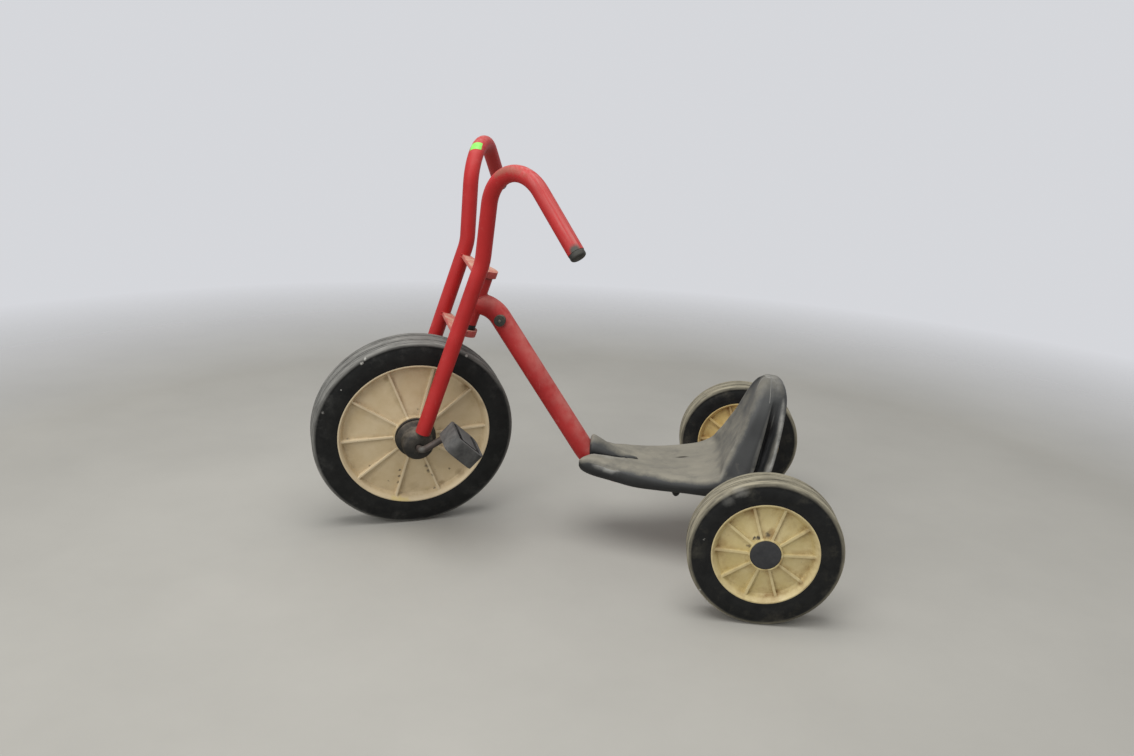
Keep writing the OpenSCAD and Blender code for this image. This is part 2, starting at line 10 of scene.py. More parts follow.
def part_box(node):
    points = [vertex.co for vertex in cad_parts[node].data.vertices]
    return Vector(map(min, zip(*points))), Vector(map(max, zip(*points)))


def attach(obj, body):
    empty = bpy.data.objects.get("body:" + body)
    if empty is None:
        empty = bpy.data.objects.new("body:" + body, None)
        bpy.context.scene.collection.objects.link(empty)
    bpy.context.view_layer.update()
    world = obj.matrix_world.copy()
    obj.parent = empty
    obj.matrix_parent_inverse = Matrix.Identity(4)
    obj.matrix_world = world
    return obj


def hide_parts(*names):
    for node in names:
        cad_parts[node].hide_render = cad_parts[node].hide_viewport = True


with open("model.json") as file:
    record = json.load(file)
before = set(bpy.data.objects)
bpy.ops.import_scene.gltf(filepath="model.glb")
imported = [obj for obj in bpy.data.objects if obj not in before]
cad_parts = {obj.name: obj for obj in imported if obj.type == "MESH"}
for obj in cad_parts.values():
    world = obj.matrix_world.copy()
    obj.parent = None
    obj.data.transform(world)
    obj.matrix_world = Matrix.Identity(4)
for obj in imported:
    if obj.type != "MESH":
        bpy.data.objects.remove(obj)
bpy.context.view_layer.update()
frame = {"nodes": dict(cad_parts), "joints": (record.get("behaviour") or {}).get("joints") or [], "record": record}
nodes = frame["nodes"]
joints = {j["name"]: j for j in frame["joints"]}
grips = {m["name"]: m for m in frame["record"]["mounts"]}
scene = bpy.context.scene
scene.view_settings.view_transform = "Standard"
mm = 0.001

# where the photograph was taken from
camera = {
    "place": (-0.1283, 1.5962, 0.7591),
    "yaw": 4.7092,
    "pitch": 16.0342,
    "roll": -2.7399,
    "focalPixels": 927.97,
    "photoSize": (1134, 756),
    "sensor": 36.0,
}


def lookMatrix():
    facing = Matrix(((-1, 0, 0), (0, 0, 1), (0, 1, 0)))  # looks along -Y with Z up
    roll = Matrix.Rotation(math.radians(camera["roll"]), 3, "Z")
    pitch = Matrix.Rotation(math.radians(camera["pitch"]), 3, "X")
    yaw = Matrix.Rotation(math.radians(camera["yaw"]), 3, "Z")
    return (roll @ pitch @ facing @ yaw.transposed()).transposed()


def rayThrough(pixel):
    wide, high = camera["photoSize"]
    along = Vector((pixel[0] - wide / 2, high / 2 - pixel[1], -camera["focalPixels"]))
    return Vector(camera["place"]), (lookMatrix() @ along).normalized()


def copyOf(node):
    bm = bmesh.new()
    bm.from_mesh(nodes[node].data)
    bmesh.ops.remove_doubles(bm, verts=bm.verts, dist=1e-5)
    return bm


shells = {}  # each node's surface, for finding points on it


def shellOf(node):
    if node not in shells:
        bm = copyOf(node)
        shells[node] = BVHTree.FromBMesh(bm)
        bm.free()
    return shells[node]


def hitOn(node, pixel):
    start, along = rayThrough(pixel)
    place, normal = shellOf(node).ray_cast(start, along)[:2]
    if place is None:  # just off the edge: the nearest point of the node
        low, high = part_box(node)
        reach = ((low + high) / 2 - start).dot(along)
        place, normal = shellOf(node).find_nearest(start + along * reach)[:2]
    return place, normal


# how far a hollow is looked for, in mm, on the nodes that have some
hollowReach = {"seat": 60, "pedal_left": 25, "pedal_right": 25}


# marks how much of its own view each vertex's piece closes off, for painted shade in the hollows
def markHollowShade(bm, reach, rays=32, lift=0.5):
    bm.normal_update()
    shell = BVHTree.FromBMesh(bm)
    hollow = bm.verts.layers.float.new("hollow")  # share of the view that the piece itself closes off
    golden = math.pi * (3 - math.sqrt(5))
    for vert in bm.verts:
        turn = vert.normal.to_track_quat("Z", "Y")
        start = vert.co + vert.normal * lift * mm
        hidden = 0
        for i in range(rays):
            up = 1 - (i + 0.5) / rays
            flat = math.sqrt(1 - up * up)
            ray = turn @ Vector((flat * math.cos(i * golden), flat * math.sin(i * golden), up))
            hidden += shell.ray_cast(start, ray, reach * mm)[0] is not None
        vert[hollow] = hidden / rays


def setCamera():
    data = bpy.data.cameras.new("photoCamera")
    data.sensor_width = camera["sensor"]
    data.lens = camera["focalPixels"] * camera["sensor"] / camera["photoSize"][0]
    data.clip_start = 0.01
    cam = bpy.data.objects.new("photoCamera", data)
    cam.matrix_world = Matrix.Translation(camera["place"]) @ lookMatrix().to_4x4()
    scene.collection.objects.link(cam)
    scene.camera = cam


setCamera()
print("camera set")


# short names for the shader nodes that every finish below is made from
def newFinish(name, rough, metal=0.0):
    finish = bpy.data.materials.new(name)
    finish.use_nodes = True
    shader = finish.node_tree.nodes["Principled BSDF"]
    shader.inputs["Roughness"].default_value = rough
    shader.inputs["Metallic"].default_value = metal
    return finish, shader


def put(finish, kind, inputs, **settings):
    node = finish.node_tree.nodes.new(kind)
    for name, value in settings.items():
        setattr(node, name, value)
    for name, value in inputs.items():
        if isinstance(value, bpy.types.NodeSocket):
            finish.node_tree.links.new(value, node.inputs[name])
        else:
            node.inputs[name].default_value = value
    return node


def join(finish, source, target):
    finish.node_tree.links.new(source, target)


def objectPlace(finish):
    return put(finish, "ShaderNodeTexCoord", {}).outputs["Object"]


def objectNormal(finish):
    return put(finish, "ShaderNodeTexCoord", {}).outputs["Normal"]


def axisOf(finish, vector, axis):
    return put(finish, "ShaderNodeSeparateXYZ", {"Vector": vector}).outputs[axis]


def stretched(finish, vector, scale):
    return put(finish, "ShaderNodeMapping", {"Vector": vector, "Scale": scale}).outputs["Vector"]


def placedAt(finish, location, turn, scale=(1, 1, 1)):
    return put(finish, "ShaderNodeMapping", {
        "Vector": objectPlace(finish), "Location": location, "Rotation": turn, "Scale": scale,
    }, vector_type="TEXTURE").outputs["Vector"]


def noiseOf(finish, vector, scale, detail=4.0, rough=0.55):
    return put(finish, "ShaderNodeTexNoise", {
        "Vector": vector, "Scale": scale, "Detail": detail, "Roughness": rough,
    }).outputs["Fac"]


def ragged(finish, vector, scale, amount):
    wobble = put(finish, "ShaderNodeTexNoise", {"Vector": vector, "Scale": scale, "Detail": 4.0}).outputs["Color"]
    centred = put(finish, "ShaderNodeVectorMath", {0: wobble, 1: (0.5, 0.5, 0.5)}, operation="SUBTRACT").outputs[0]
    moved = put(finish, "ShaderNodeVectorMath", {0: centred, "Scale": amount * mm}, operation="SCALE").outputs[0]
    return put(finish, "ShaderNodeVectorMath", {0: vector, 1: moved}, operation="ADD").outputs[0]


def attributeOf(finish, name):
    return put(finish, "ShaderNodeAttribute", {}, attribute_name=name).outputs["Fac"]


def spread(finish, value, low, high, least, most):
    return put(finish, "ShaderNodeMapRange", {
        "Value": value, "From Min": low, "From Max": high, "To Min": least, "To Max": most,
    }).outputs["Result"]


def fade(finish, value, low, high):
    return spread(finish, value, low, high, 0.0, 1.0)


def calc(finish, operation, first, second=0.0):
    return put(finish, "ShaderNodeMath", {0: first, 1: second}, operation=operation).outputs[0]


def both(finish, *shares):
    product = shares[0]
    for share in shares[1:]:
        product = calc(finish, "MULTIPLY", product, share)
    return product


def tint(finish, share, under, over):
    node = put(finish, "ShaderNodeMix", {0: share}, data_type="RGBA")
    for place, colour in ((6, under), (7, over)):
        if isinstance(colour, bpy.types.NodeSocket):
            join(finish, colour, node.inputs[place])
        else:
            node.inputs[place].default_value = (*colour, 1.0)
    return node.outputs[2]


def bumpOf(finish, shader, height, strength, distance):
    bump = put(finish, "ShaderNodeBump", {"Height": height, "Strength": strength, "Distance": distance})
    join(finish, bump.outputs["Normal"], shader.inputs["Normal"])


def spot(finish, local, centre, size):
    gap = put(finish, "ShaderNodeVectorMath", {0: local, 1: centre}, operation="DISTANCE").outputs["Value"]
    return fade(finish, gap, size * mm, size * mm * 0.35)


def marked(finish, place, node, colour, marks, over):
    for across, down, size, share in marks:  # pixel of the photograph, size in mm, strength
        blot = spot(finish, place, hitOn(node, (across, down))[0], size)
        colour = tint(finish, both(finish, blot, share), colour, over)
    return colour


# red paint, worn where hands and feet rub it, with pale dust on its upturned faces that partly stands for a painted
# highlight along the tops
forkPaint = {"deep": (0.35, 0.008, 0.008), "bright": (0.43, 0.014, 0.014), "dustColour": (0.48, 0.20, 0.18),
             "dust": 0.24, "scuff": 0.55}
framePaint = {"deep": (0.31, 0.011, 0.011), "bright": (0.42, 0.022, 0.021), "dustColour": (0.54, 0.25, 0.215),
              "dust": 0.74, "scuff": 0.8}
platePaint = {"deep": (0.40, 0.045, 0.042), "bright": (0.50, 0.12, 0.105), "dustColour": (0.52, 0.36, 0.26),
              "dust": 0.9, "scuff": 0.6}
gripWear = {"reach": 62, "rubbed": (0.46, 0.23, 0.21), "share": 0.55, "scuffed": (0.21, 0.11, 0.07),
            "crown": ((496.5, 173.8, 10, 0.5), (500.5, 171, 10, 0.5), (504.5, 169.8, 10, 0.5), (509, 169.5, 9, 0.45),
                      (514, 170.5, 9, 0.4), (519, 171.5, 8, 0.3), (525, 175, 7, 0.25)),
            "bare": (0.060, 0.058, 0.048), "end": ((575.5, 249.3, 11, 1.0), (573.5, 250.5, 8, 1.0))}
paintWear = {"rub": (0.60, 0.24, 0.21), "chip": (0.10, 0.035, 0.03), "crownRagged": (170, 9), "endRagged": (200, 4)}


def paintFinish(name, look, grip=None, tube=None):
    finish, shader = newFinish(name, 0.4)
    place = objectPlace(finish)
    tone = fade(finish, noiseOf(finish, place, 16, 5), 0.3, 0.7)
    colour = tint(finish, tone, look["deep"], look["bright"])
    # pale dust on upturned faces, partly a painted highlight along the tops of the tubes
    upward = fade(finish, axisOf(finish, objectNormal(finish), "Z"), -0.1, 0.95)
    patchy = fade(finish, noiseOf(finish, place, 34, 6, 0.65), 0.32, 0.62)
    dust = both(finish, upward, patchy, look["dust"])
    colour = tint(finish, dust, colour, look["dustColour"])
    rubbed = fade(finish, noiseOf(finish, stretched(finish, place, (1, 1, 0.35)), 90, 7, 0.7), 0.60, 0.72)
    colour = tint(finish, both(finish, rubbed, look["scuff"] * 0.35), colour, paintWear["rub"])
    if grip:
        local = placedAt(finish, grip["pos_m"], Vector(grip["axis"]).to_track_quat("Z", "Y").to_euler())
        near = fade(finish, radiusOf(finish, local), gripWear["reach"] * mm, gripWear["reach"] * 0.4 * mm)
        streak = fade(finish, noiseOf(finish, stretched(finish, local, (210, 210, 12)), 1.0, 6, 0.7), 0.42, 0.66)
        held = both(finish, near, streak, upward)
        colour = tint(finish, both(finish, held, gripWear["share"]), colour, gripWear["rubbed"])
    if tube:
        uneven = ragged(finish, place, *paintWear["crownRagged"])
        colour = marked(finish, uneven, tube, colour, gripWear["crown"], gripWear["scuffed"])
        uneven = ragged(finish, place, *paintWear["endRagged"])
        colour = marked(finish, uneven, tube, colour, gripWear["end"], gripWear["bare"])
    chipped = fade(finish, noiseOf(finish, place, 130, 6, 0.7), 0.68, 0.72)
    colour = tint(finish, both(finish, chipped, look["scuff"]), colour, paintWear["chip"])
    join(finish, colour, shader.inputs["Base Color"])
    rough = fade(finish, calc(finish, "ADD", dust, both(finish, rubbed, 0.3)), -0.8, 0.6)
    join(finish, rough, shader.inputs["Roughness"])
    ripple = calc(finish, "SUBTRACT", both(finish, noiseOf(finish, place, 420, 2), 0.15), both(finish, chipped, 0.5))
    bumpOf(finish, shader, ripple, 0.25, 0.0006)
    shader.inputs["Specular IOR Level"].default_value = 0.36
    return finish


# places on a wheel are measured from its own axle
def wheelTurn(joint):
    return Vector(joints[joint]["axis"]).to_track_quat("Z", "Y")


def wheelPlace(finish, joint):
    return placedAt(finish, joints[joint]["pos_m"], wheelTurn(joint).to_euler())


def wheelMatrix(joint):
    return Matrix.Translation(joints[joint]["pos_m"]) @ wheelTurn(joint).to_matrix().to_4x4()


def radiusOf(finish, local):
    flat = stretched(finish, local, (1, 1, 0))
    return put(finish, "ShaderNodeVectorMath", {0: flat}, operation="LENGTH").outputs["Value"]


def finishPiece(name, bm, finish, body, smoothAngle=35):
    mesh = bpy.data.meshes.new(name)
    bm.to_mesh(mesh)
    bm.free()
    mesh.materials.clear()
    mesh.materials.append(finish)
    mesh.shade_smooth()
    mesh.set_sharp_from_angle(angle=math.radians(smoothAngle))
    piece = bpy.data.objects.new(name, mesh)
    scene.collection.objects.link(piece)
    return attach(piece, body)


# solid tyres with a grooved tread
frontTyre = {"joint": "front_wheel_spin", "node": "front_tyre", "body": "front_wheel", "radius": 182, "width": 55,
             "bead": 138.05, "beadHalf": 25, "treadDust": (0.26, 0.255, 0.235), "dust": 0.95, "smear": 0.16,
             "specks": ((361.5, 363.5, 3.2, 0.9), (365, 358.5, 2.6, 0.8), (341, 390, 2, 0.6), (466.5, 355.5, 3, 0.7),
                        (322.5, 412.5, 3, 0.35), (469.5, 499, 2, 0.5))}
leftTyre = {"joint": "left_rear_wheel_spin", "node": "rear_tyre_left", "body": "left_rear_wheel", "radius": 120,
            "width": 50, "bead": 83.05, "beadHalf": 23, "treadDust": (0.34, 0.31, 0.23), "dust": 1.0, "smear": 0.14,
            "specks": ((704, 539.5, 2, 0.6), (700, 589.5, 2.6, 0.7), (728, 500.5, 12, 0.10), (738, 492.5, 11, 0.14),
                       (744, 492, 10, 0.12))}
rightTyre = dict(leftTyre, joint="right_rear_wheel_spin", node="rear_tyre_right", body="right_rear_wheel", specks=())
tread = {"shoulder": 8, "steps": 144, "arcSteps": 6, "speckColour": (0.55, 0.54, 0.50),
         "deep": (0.0055, 0.0058, 0.0058), "mid": (0.0135, 0.0137, 0.013),
         "flank": ((5.0, 1.2), (7.0, 0.9), (12.0, 0.0)),  # outwards from the bead, inwards from the sidewall
         "grooves": ((0.40, 4.0, 2.5), (0.20, 1.8, 1.3), (0.62, 1.8, 1.3))}  # share of half width, width, depth


def tyreFinish(name, look):
    finish, shader = newFinish(name, 0.62)
    local = wheelPlace(finish, look["joint"])
    radius = radiusOf(finish, local)
    mottle = noiseOf(finish, local, 60, 6, 0.65)
    colour = tint(finish, fade(finish, mottle, 0.35, 0.75), tread["deep"], tread["mid"])
    edge = (look["radius"] - tread["shoulder"]) * mm
    onTread = fade(finish, radius, edge + 0.0005, edge + 0.0065)
    streaks = noiseOf(finish, stretched(finish, local, (22, 22, 330)), 1.0, 6, 0.7)
    dusty = both(finish, onTread, fade(finish, streaks, 0.22, 0.62), look["dust"])
    colour = tint(finish, dusty, colour, look["treadDust"])
    cloudy = fade(finish, noiseOf(finish, local, 26, 7, 0.7), 0.52, 0.75)
    smear = both(finish, fade(finish, radius, edge - 0.03, edge), cloudy, look["smear"])
    colour = tint(finish, smear, colour, look["treadDust"])
    place = ragged(finish, objectPlace(finish), 260, 7)
    colour = marked(finish, place, look["node"], colour, look["specks"], tread["speckColour"])
    join(finish, colour, shader.inputs["Base Color"])
    join(finish, fade(finish, dusty, -1.4, 0.9), shader.inputs["Roughness"])
    grain = calc(finish, "ADD", both(finish, noiseOf(finish, local, 700, 3), 0.4), streaks)
    bumpOf(finish, shader, grain, 0.35, 0.0007)
    shader.inputs["Specular IOR Level"].default_value = 0.2
    return finish


def tyreHalf(look):
    top, half = look["radius"], look["width"] / 2
    curve = tread["shoulder"]
    points = [(look["bead"], look["beadHalf"]), (look["bead"] + 2.5, look["beadHalf"] + 1.0)]
    points += [(look["bead"] + out, half - drop) for out, drop in tread["flank"]]
    points += [(top - curve - 3.0, half), (top - curve - 2.0, half - 0.5)]
    for step in range(tread["arcSteps"] + 1):
        turn = math.radians(90 - 90 * step / tread["arcSteps"])
        points.append((top - curve + curve * math.cos(turn), half - curve + curve * math.sin(turn)))
    for share, wide, deep in sorted(tread["grooves"], reverse=True):
        middle = share * half
        if middle + wide / 2 < half - curve:
            points += [(top, middle + wide / 2), (top - deep, middle + wide / 2 - 0.4),
                       (top - deep, middle - wide / 2 + 0.4), (top, middle - wide / 2)]
    return points


def makeTyre(name, look, finish):
    half = tyreHalf(look)
    bm = bmesh.new()
    ring = [bm.verts.new((r * mm, 0, z * mm)) for r, z in half]
    ring += [bm.verts.new((r * mm, 0, -z * mm)) for r, z in reversed(half)]
    edges = [bm.edges.new((a, b)) for a, b in zip(ring, ring[1:])]
    edges.append(bm.edges.new((ring[-1], ring[0])))  # closes the seat on the rim
    bmesh.ops.spin(bm, geom=ring + edges, cent=(0, 0, 0), axis=(0, 0, 1), angle=2 * math.pi,
                   steps=tread["steps"], use_merge=True)
    bmesh.ops.recalc_face_normals(bm, faces=bm.faces)
    bmesh.ops.transform(bm, matrix=wheelMatrix(look["joint"]), verts=bm.verts)
    piece = finishPiece(name, bm, finish, look["body"], 50)
    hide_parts(look["node"])


makeTyre("frontTyre", frontTyre, tyreFinish("frontRubber", frontTyre))
makeTyre("leftRearTyre", leftTyre, tyreFinish("leftRubber", leftTyre))
makeTyre("rightRearTyre", rightTyre, tyreFinish("rightRubber", rightTyre))
print("tyres made")

# moulded discs: pale on the ribs and lip, as clean plastic and a painted highlight; grime with painted shade in the
# corners and beside the ribs
frontDisc = {"joint": "front_wheel_spin", "node": "front_disc", "rim": 138, "hub": 38.5, "webHub": 19.5, "webRim": 10,
             "lipLow": 10, "lipHigh": 22, "lipLean": 2.4, "ribTurn": 15.5,
             "base": (0.50, 0.385, 0.22), "pale": (0.66, 0.55, 0.37), "grimeAndShade": (0.22, 0.14, 0.06),
             "soilAndShade": 0.45, "beside": 0.4, "cleanAndHighlight": 0.6,
             "black": ((400, 470, 3, 0.8), (399.3, 476, 3, 0.8), (398.4, 482, 3.5, 0.75), (427, 465.5, 6, 0.7),
                       (429, 470.5, 5, 0.7), (431.5, 475, 4, 0.6), (449.5, 468.5, 3, 0.7), (434, 488, 3, 0.7),
                       (388.5, 481, 2.5, 0.6), (369.5, 465.5, 2.5, 0.6), (347.5, 439, 4, 0.5), (418, 409.5, 2.5, 0.5)),
             "brown": ((460, 473, 11, 0.5), (442, 482, 7, 0.5), (465.5, 386, 9, 0.6), (386.5, 379, 7, 0.5),
                       (484, 404, 12, 0.35), (414, 486, 12, 0.2)),
             "yellow": ((394.5, 498, 9, 0.36), (400.5, 499, 10, 0.4), (406.5, 499, 9, 0.34))}
leftDisc = {"joint": "left_rear_wheel_spin", "node": "rear_disc_left", "rim": 83, "hub": 26, "webHub": 17.9,
            "webRim": 9.2, "lipLow": 9.2, "lipHigh": 20, "lipLean": 3, "ribTurn": None,
            "base": (0.50, 0.395, 0.165), "pale": (0.66, 0.56, 0.32),
            "grimeAndShade": (0.24, 0.13, 0.035), "soilAndShade": 0.85, "beside": 0.6, "cleanAndHighlight": 0.4,
            "black": ((754.5, 538.5, 4, 0.95), (758.5, 538, 4, 0.95), (768, 534.5, 6, 0.8), (749, 546, 4, 0.7)),
            "brown": ((772, 532, 8, 0.5), (750, 512, 10, 0.4), (810, 533, 10, 0.45), (801, 583, 7, 0.5),
                      (728, 524.5, 7, 0.45), (719, 541, 11, 0.25), (720.5, 577, 7, 0.35), (740.5, 591, 9, 0.3),
                      (813.5, 560, 8, 0.35), (785.5, 511, 8, 0.3)),
            "yellow": ()}
# the far disc: a deeper grime colour and strong painted shadows beside its ribs
rightDisc = dict(leftDisc, joint="right_rear_wheel_spin", node="rear_disc_right", base=(0.52, 0.37, 0.12),
                 pale=(0.68, 0.53, 0.25), grimeAndShade=(0.21, 0.10, 0.02), beside=0.9, black=(), brown=())
ribs = {"count": 10, "wall": 7, "lipIn": 4.5, "lipOut": 2.5,
        "onRib": (0.0026, 0.0020), "ribShadowBand": (0.010, 0.003)}  # these two in metres, as the finish reads them
discMarks = {"yellow": (0.62, 0.48, 0.06), "black": (0.018, 0.014, 0.010), "speck": (0.05, 0.035, 0.02)}


def ribDistance(finish, local, radius, look):
    side = Vector(joints[look["joint"]]["axis"])
    if look["ribTurn"] is None:
        first = Vector((1, 0, 0))
    else:
        up = Vector(joints["steer"]["axis"])
        lean = math.radians(look["ribTurn"])
        first = side.cross(up) * math.cos(lean) + up * math.sin(lean)
    flat = wheelTurn(look["joint"]).inverted() @ first
    step = 2 * math.pi / ribs["count"]
    angle = calc(finish, "ARCTAN2", axisOf(finish, local, "Y"), axisOf(finish, local, "X"))
    turns = calc(finish, "DIVIDE", calc(finish, "SUBTRACT", angle, math.atan2(flat.y, flat.x)), step)
    part = calc(finish, "FRACT", calc(finish, "ADD", turns, 0.5))
    away = calc(finish, "ABSOLUTE", calc(finish, "SUBTRACT", part, 0.5))
    return both(finish, away, step, radius)


def discFinish(name, look):
    finish, shader = newFinish(name, 0.5)
    local = wheelPlace(finish, look["joint"])
    radius = radiusOf(finish, local)
    wall = look["rim"] - ribs["wall"]
    tone = fade(finish, noiseOf(finish, local, 26, 5, 0.6), 0.3, 0.72)
    colour = tint(finish, both(finish, tone, 0.6), look["base"], look["pale"])
    stain = fade(finish, noiseOf(finish, local, 38, 7, 0.7), 0.46, 0.72)
    lip = fade(finish, radius, (wall - 1) * mm, (wall + 1.5) * mm)
    web = spread(finish, radius, look["hub"] * mm, (wall - 4) * mm, look["webHub"] * mm, look["webRim"] * mm)
    rise = calc(finish, "SUBTRACT", calc(finish, "ABSOLUTE", axisOf(finish, local, "Z")), web)
    away = ribDistance(finish, local, radius, look)
    onRib = both(finish, fade(finish, rise, 0.0006, 0.0022), fade(finish, away, *ribs["onRib"]))
    raised = calc(finish, "MAXIMUM", lip, onRib)
    # painted shade mixed with grime: darker towards the rim corner and the hub
    corner = fade(finish, radius, (look["rim"] - 34) * mm, (wall - 2) * mm)
    nearHub = fade(finish, radius, (look["hub"] + 16) * mm, (look["hub"] + 2) * mm)
    edges = calc(finish, "MAXIMUM", corner, nearHub)
    colour = tint(finish, both(finish, stain, edges, look["soilAndShade"]), colour, look["grimeAndShade"])
    # painted shadow beside each rib, mixed with grime
    beside = both(finish, fade(finish, away, *ribs["ribShadowBand"]), stain, look["beside"])
    colour = tint(finish, beside, colour, look["grimeAndShade"])
    # pale on the rib tops and the lip: clean plastic and a painted highlight
    colour = tint(finish, both(finish, raised, look["cleanAndHighlight"]), colour, look["pale"])
    place = ragged(finish, objectPlace(finish), 200, 9)
    colour = marked(finish, place, look["node"], colour, look["brown"], look["grimeAndShade"])
    colour = marked(finish, place, look["node"], colour, look["yellow"], discMarks["yellow"])
    colour = marked(finish, place, look["node"], colour, look["black"], discMarks["black"])
    speck = fade(finish, noiseOf(finish, local, 210, 4, 0.6), 0.70, 0.74)
    clump = fade(finish, noiseOf(finish, local, 30, 2), 0.52, 0.62)
    colour = tint(finish, both(finish, speck, clump), colour, discMarks["speck"])
    join(finish, colour, shader.inputs["Base Color"])
    join(finish, fade(finish, stain, -1.0, 1.6), shader.inputs["Roughness"])
    bumpOf(finish, shader, noiseOf(finish, local, 500, 3), 0.12, 0.0005)
    return finish


# leans the inside of the lip outwards, so that a narrow edge is left beside the tyre
def thinLip(bm, look):
    onWheel = wheelMatrix(look["joint"])
    fromWheel = onWheel.inverted()
    inner, low, high = look["rim"] - ribs["wall"], look["lipLow"], look["lipHigh"]
    for vert in bm.verts:
        place = fromWheel @ vert.co
        radius = math.hypot(place.x, place.y) / mm
        if inner - ribs["lipIn"] < radius < inner + ribs["lipOut"]:
            share = min(1.0, max(0.0, (abs(place.z) / mm - low) / (high - low)))
            grown = 1 + look["lipLean"] * share / radius
            vert.co = onWheel @ Vector((place.x * grown, place.y * grown, place.z))


softening = {"flat": 0.3, "corner": 32}  # in degrees: what is merged, and what is softened


def dressNode(name, node, body, finish, width, segments=2, lip=None):
    bm = copyOf(node)
    if lip:
        thinLip(bm, lip)
    bmesh.ops.dissolve_limit(bm, angle_limit=math.radians(softening["flat"]), verts=bm.verts, edges=bm.edges)
    corners = [e for e in bm.edges if e.is_manifold and e.calc_face_angle() > math.radians(softening["corner"])]
    bmesh.ops.bevel(bm, geom=corners, offset=width * mm, segments=segments, profile=0.5, affect="EDGES",
                    clamp_overlap=True, material=-1)
    if node in hollowReach:
        markHollowShade(bm, hollowReach[node])
    piece = finishPiece(name, bm, finish, body)
    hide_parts(node)


dressNode("frontDisc", "front_disc", "front_wheel", discFinish("frontCream", frontDisc), 0.7,
          lip=frontDisc)
dressNode("leftRearDisc", "rear_disc_left", "left_rear_wheel", discFinish("leftCream", leftDisc), 0.7,
          lip=leftDisc)
dressNode("rightRearDisc", "rear_disc_right", "right_rear_wheel", discFinish("rightCream", rightDisc),
          0.7, lip=rightDisc)
print("discs made")


# dark plastics, rubber and steel: deep and pale tones, then settled dust
def darkFinish(name, deep, pale, dustColour, dust, rough, scale=45, metal=0.0, worn=None, hollow=None):
    finish, shader = newFinish(name, rough, metal)
    place = objectPlace(finish)
    colour = tint(finish, fade(finish, noiseOf(finish, place, scale, 6, 0.65), 0.32, 0.7), deep, pale)
    upward = fade(finish, axisOf(finish, objectNormal(finish), "Z"), -0.25, 0.9)
    patchy = fade(finish, noiseOf(finish, place, scale * 1.7, 6, 0.7), 0.3, 0.62)
    settled = both(finish, upward, patchy, dust)
    colour = tint(finish, settled, colour, dustColour)
    scratch = fade(finish, noiseOf(finish, stretched(finish, place, (1, 0.25, 1)), scale * 5, 5, 0.7), 0.66, 0.72)
    colour = tint(finish, both(finish, scratch, 0.5), colour, dustColour)
    if worn:
        colour = marked(finish, place, worn["node"], colour, worn["marks"], worn["colour"])
    # painted shade: darker where the piece closes off its own view
    if hollow:
        colour = tint(finish, fade(finish, attributeOf(finish, "hollow"), *hollow), colour, (0.004, 0.004, 0.004))
    join(finish, colour, shader.inputs["Base Color"])
    join(finish, fade(finish, settled, -rough * 2, 1.0), shader.inputs["Roughness"])
    bumpOf(finish, shader, noiseOf(finish, place, scale * 12, 4), 0.2, 0.0006)
    shader.inputs["Specular IOR Level"].default_value = 0.5 if metal else 0.3
    return finish


elbowWear = {"node": "crank_axle", "marks": ((421, 449.8, 9, 0.7),), "colour": (0.15, 0.145, 0.13)}
hubBlack = darkFinish("hubBlack", (0.006, 0.006, 0.006), (0.014, 0.013, 0.012), (0.10, 0.08, 0.06), 0.45, 0.5)
housingBlack = darkFinish("housingBlack", (0.007, 0.007, 0.006), (0.020, 0.018, 0.015), (0.17, 0.145, 0.115),
                          0.85, 0.55)
# the upper bush in a darker red: the frame's red in painted shade under the plate
shadedBushRed = darkFinish("shadedBushRed", (0.15, 0.016, 0.015), (0.24, 0.03, 0.027), (0.30, 0.10, 0.085), 0.4, 0.6)
capBlack = darkFinish("capBlack", (0.022, 0.023, 0.026), (0.040, 0.041, 0.044), (0.10, 0.095, 0.085), 0.4, 0.55, 70)
plugBlack = darkFinish("plugBlack", (0.018, 0.018, 0.017), (0.050, 0.049, 0.042), (0.12, 0.115, 0.095), 0.5, 0.7, 120)
# the pedals get painted shade in their hollows
pedalGrey = darkFinish("pedalGrey", (0.032, 0.032, 0.032), (0.080, 0.079, 0.076), (0.18, 0.172, 0.16), 0.5, 0.6, 60,
                       hollow=(0.25, 0.5))
bufferBlack = darkFinish("bufferBlack", (0.010, 0.011, 0.010), (0.020, 0.022, 0.018), (0.18, 0.165, 0.12),
                         0.75, 0.7, 90)
crankSteel = darkFinish("crankSteel", (0.020, 0.015, 0.013), (0.06, 0.045, 0.04), (0.16, 0.125, 0.10), 0.5, 0.5, 80,
                        0.35, worn=elbowWear)
bareSteel = darkFinish("bareSteel", (0.25, 0.24, 0.23), (0.42, 0.40, 0.38), (0.30, 0.24, 0.18), 0.4, 0.4, 80, 0.9)
rustSteel = darkFinish("rustSteel", (0.07, 0.055, 0.045), (0.17, 0.145, 0.125), (0.24, 0.20, 0.15), 0.5, 0.5, 90, 0.5)
